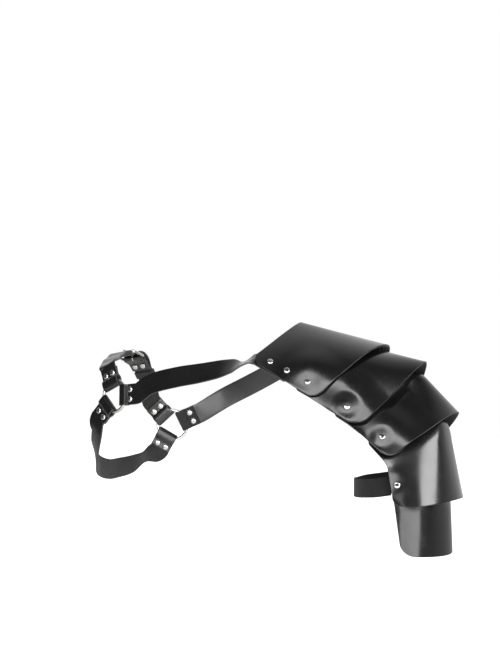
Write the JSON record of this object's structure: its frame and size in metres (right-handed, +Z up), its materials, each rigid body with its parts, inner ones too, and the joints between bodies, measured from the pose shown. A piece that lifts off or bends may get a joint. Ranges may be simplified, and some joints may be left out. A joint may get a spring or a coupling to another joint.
{
  "type": "shoulder harness",
  "caption": "Leather armour for the left shoulder and upper arm: overlapping riveted plates held by straps, rings and a buckle round the other shoulder.",
  "frame": {"origin": "the seat on the shoulder: the middle of the underside of the top plate's crown", "axes": "+X towards the wearer's left arm, -Y towards the wearer's front, +Z up"},
  "size_m": [0.4705, 0.1833, 0.2631],
  "materials": {
    "plate_leather": "smooth black leather, satin to glossy",
    "strap_leather": "smooth black strap leather, satin",
    "elastic_webbing": "matt black woven elastic",
    "nickel_wire": "bright nickel plate",
    "rivet_nickel": "bright nickel plate"
  },
  "bodies": {
    "root": {"lame_1": "plate_leather", "lame_2": "plate_leather", "lame_3": "plate_leather", "lame_4": "plate_leather", "lame_5": "plate_leather", "chest_strap": "strap_leather", "back_strap": "strap_leather", "underarm_strap": "strap_leather", "shoulder_strap": "strap_leather", "buckle_strap": "strap_leather", "strap_keeper": "strap_leather", "arm_elastic": "elastic_webbing", "buckle_frame": "nickel_wire", "buckle_prong": "nickel_wire", "front_ring": "nickel_wire", "back_ring": "nickel_wire", "rivet_front_neck": "rivet_nickel", "rivet_front_chest": "rivet_nickel", "rivet_front_first": "rivet_nickel", "rivet_front_second": "rivet_nickel", "rivet_front_third": "rivet_nickel", "rivet_front_fourth": "rivet_nickel", "rivet_back_neck": "rivet_nickel", "rivet_back_chest": "rivet_nickel", "rivet_back_first": "rivet_nickel", "rivet_back_second": "rivet_nickel", "rivet_back_third": "rivet_nickel", "rivet_back_fourth": "rivet_nickel", "rivet_chest_front_ring_a": "rivet_nickel", "rivet_chest_front_ring_b": "rivet_nickel", "rivet_shoulder_front_ring_a": "rivet_nickel", "rivet_shoulder_front_ring_b": "rivet_nickel", "rivet_underarm_front_ring_a": "rivet_nickel", "rivet_underarm_front_ring_b": "rivet_nickel", "rivet_back_back_ring_a": "rivet_nickel", "rivet_back_back_ring_b": "rivet_nickel", "rivet_buckle_back_ring_a": "rivet_nickel", "rivet_buckle_back_ring_b": "rivet_nickel", "rivet_underarm_back_ring_a": "rivet_nickel", "rivet_underarm_back_ring_b": "rivet_nickel", "rivet_buckle_fold_a": "rivet_nickel", "rivet_buckle_fold_b": "rivet_nickel"}
  },
  "joints": []
}
